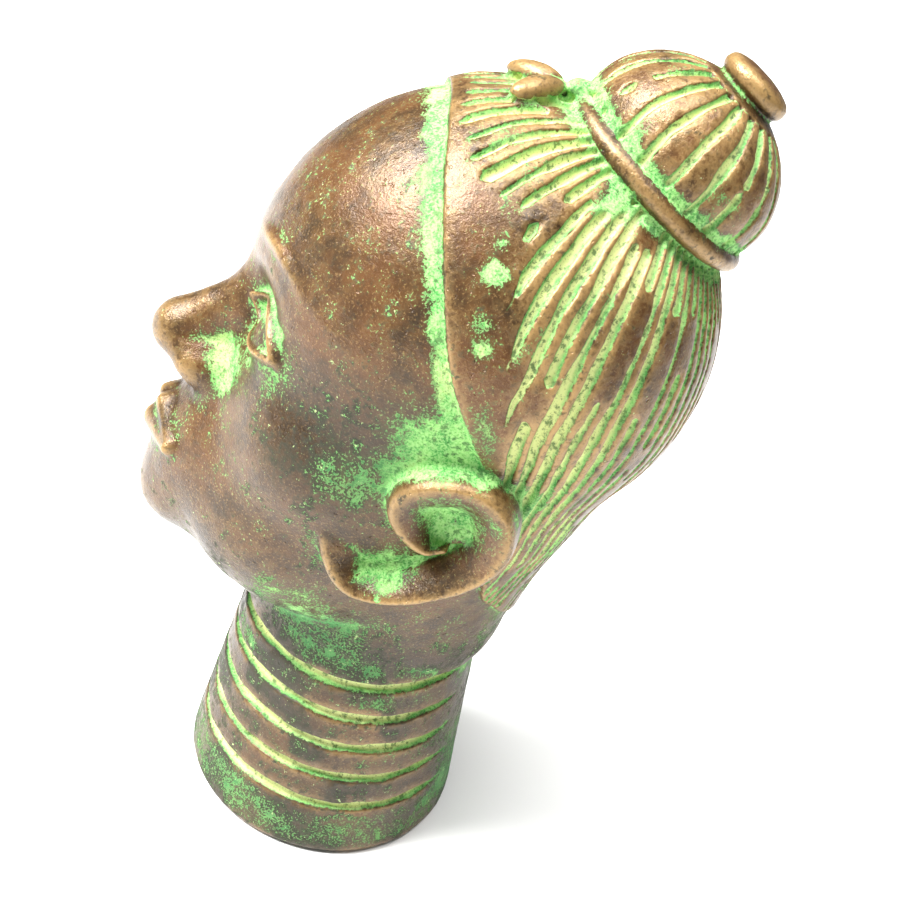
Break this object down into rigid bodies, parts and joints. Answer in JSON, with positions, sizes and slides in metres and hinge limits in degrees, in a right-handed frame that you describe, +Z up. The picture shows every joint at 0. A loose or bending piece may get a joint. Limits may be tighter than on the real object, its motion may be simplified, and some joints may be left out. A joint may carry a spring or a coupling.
{
  "type": "bronze head sculpture",
  "caption": "Cast bronze head on a ringed neck cut flat below, with coiled ears and combed hair gathered in a fluted bun with a collar and a button.",
  "frame": {"origin": "middle of the neck's flat foot, on the surface that the head stands on", "axes": "+Z up along the neck, -Y the way the head faces, +X towards the head's own left side"},
  "size_m": [0.0976, 0.1173, 0.2038],
  "materials": {
    "bronze": "worn brown bronze with bright green patina in its hollows"
  },
  "bodies": {
    "root": {"bronze_head": "bronze"}
  },
  "joints": []
}
